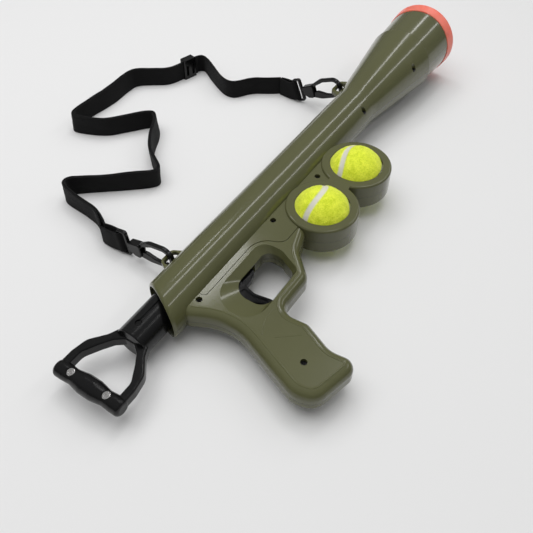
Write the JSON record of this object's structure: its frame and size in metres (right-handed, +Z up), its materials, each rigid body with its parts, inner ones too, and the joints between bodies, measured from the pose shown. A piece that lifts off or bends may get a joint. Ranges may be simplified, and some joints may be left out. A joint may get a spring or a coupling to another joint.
{
  "type": "automatic dog ball launcher",
  "caption": "Hand-held spring ball launcher for dogs: barrel with flared muzzle, pull handle, pistol grip with trigger, side rings for spare balls and a clip-on shoulder strap.",
  "frame": {"origin": "Middle of the launcher's bounding box, without its strap and clips, on the surface that it lies on.", "axes": "The launcher lies on its left side. +X runs towards the muzzle, +Y is the side of the strap lugs, with the grip towards -Y, and +Z is up. The barrel's axis rises 2 degrees towards +X."},
  "size_m": [0.6792, 0.4848, 0.0926],
  "materials": {
    "olive_plastic": "glossy moulded plastic, olive green",
    "coral_rubber": "smooth, slightly see-through coral rubber",
    "white_acetal": "plain off-white engineering plastic",
    "grey_rubber": "soft dark grey rubber",
    "black_plastic": "glossy black moulded plastic",
    "steel": "plain ground steel",
    "spring_steel": "drawn spring wire",
    "bright_screws": "bright zinc-plated screws",
    "ball_felt": "short bright yellow-green felt with a pale seam stripe",
    "black_webbing": "flat woven black webbing"
  },
  "bodies": {
    "launcher": {"barrel_right": "olive_plastic", "barrel_left": "olive_plastic", "muzzle_sleeve": "olive_plastic", "muzzle_ring": "coral_rubber", "launch_tube": "white_acetal", "holder_right": "olive_plastic", "holder_left": "olive_plastic", "grip_right": "olive_plastic", "grip_left": "olive_plastic", "rear_bush": "white_acetal", "spring_seat": "white_acetal", "bumper": "grey_rubber", "main_spring": "spring_steel", "trigger_pin": "steel", "trigger_spring": "spring_steel", "sear_pin": "steel", "sear_spring": "spring_steel", "case_screws": "bright_screws", "front_swivel": "black_plastic", "front_strap_end": "black_webbing", "rear_swivel": "black_plastic", "rear_strap_end": "black_webbing", "webbing": "black_webbing", "webbing_return": "black_webbing", "slide_adjuster": "black_plastic"},
    "plunger": {"pull_tube": "black_plastic", "catch_collar": "white_acetal", "plunger_rod": "steel", "plunger_head": "white_acetal", "head_pad": "grey_rubber", "handle_yoke": "black_plastic", "hand_bar_right": "black_plastic", "hand_bar_left": "black_plastic", "handle_screws": "bright_screws", "tube_screw": "bright_screws"},
    "trigger": {"trigger": "black_plastic"},
    "sear": {"sear": "steel"},
    "ball_front": {"ball_front": "ball_felt"},
    "ball_rear": {"ball_rear": "ball_felt"},
    "front_hook": {"front_hook": "black_plastic"},
    "front_gate": {"front_gate": "black_plastic"},
    "rear_hook": {"rear_hook": "black_plastic"},
    "rear_gate": {"rear_gate": "black_plastic"}
  },
  "joints": [
    {"name": "plunger_slide", "type": "slide", "parent": "launcher", "child": "plunger", "axis": [-0.9994, 0.0001, -0.0354], "range_m": [0, 0.11], "stiffness_N_per_m": 700, "springref_m": -0.02, "deforming": ["main_spring"]},
    {"name": "trigger_pull", "type": "hinge", "parent": "launcher", "child": "trigger", "pos_m": [-0.16452, 0.03155, 0.02844], "axis": [0.0354, 0.0062, -0.9994], "range_deg": [0, 15], "stiffness_Nm_per_rad": 0.2, "springref_deg": -11.46},
    {"name": "sear_release", "type": "hinge", "parent": "launcher", "child": "sear", "pos_m": [-0.10956, 0.03704, 0.03042], "axis": [-0.0354, -0.0062, 0.9994], "range_deg": [0, 6]},
    {"name": "ball_rear_slide", "type": "slide", "parent": "launcher", "child": "ball_rear", "axis": [-0.0354, -0.0062, 0.9994], "range_m": [0, 0.05], "deforming": ["ball_rear"]},
    {"name": "ball_front_slide", "type": "slide", "parent": "launcher", "child": "ball_front", "axis": [-0.0354, -0.0062, 0.9994], "range_m": [0, 0.05], "deforming": ["ball_front"]},
    {"name": "front_hook_swivel", "type": "hinge", "parent": "launcher", "child": "front_hook", "pos_m": [0.16533, 0.11202, 0.03861], "axis": [0, 0.9205, -0.3907], "range_deg": [-25, 25]},
    {"name": "front_gate_snap", "type": "hinge", "parent": "front_hook", "child": "front_gate", "pos_m": [0.16533, 0.14104, 0.01869], "axis": [-1, 0, 0], "range_deg": [0, 20], "stiffness_Nm_per_rad": 0.05, "springref_deg": -11.46},
    {"name": "rear_hook_swivel", "type": "hinge", "parent": "launcher", "child": "rear_hook", "pos_m": [-0.17995, 0.10966, 0.02638], "axis": [0, 0.9848, -0.1736], "range_deg": [-25, 25]},
    {"name": "rear_gate_snap", "type": "hinge", "parent": "rear_hook", "child": "rear_gate", "pos_m": [-0.17995, 0.14242, 0.01349], "axis": [-1, 0, 0], "range_deg": [0, 20], "stiffness_Nm_per_rad": 0.05, "springref_deg": -11.46}
  ],
  "couplings": [
    {"joint": "sear_release", "follows": "trigger_pull", "ratio": 0.4}
  ]
}
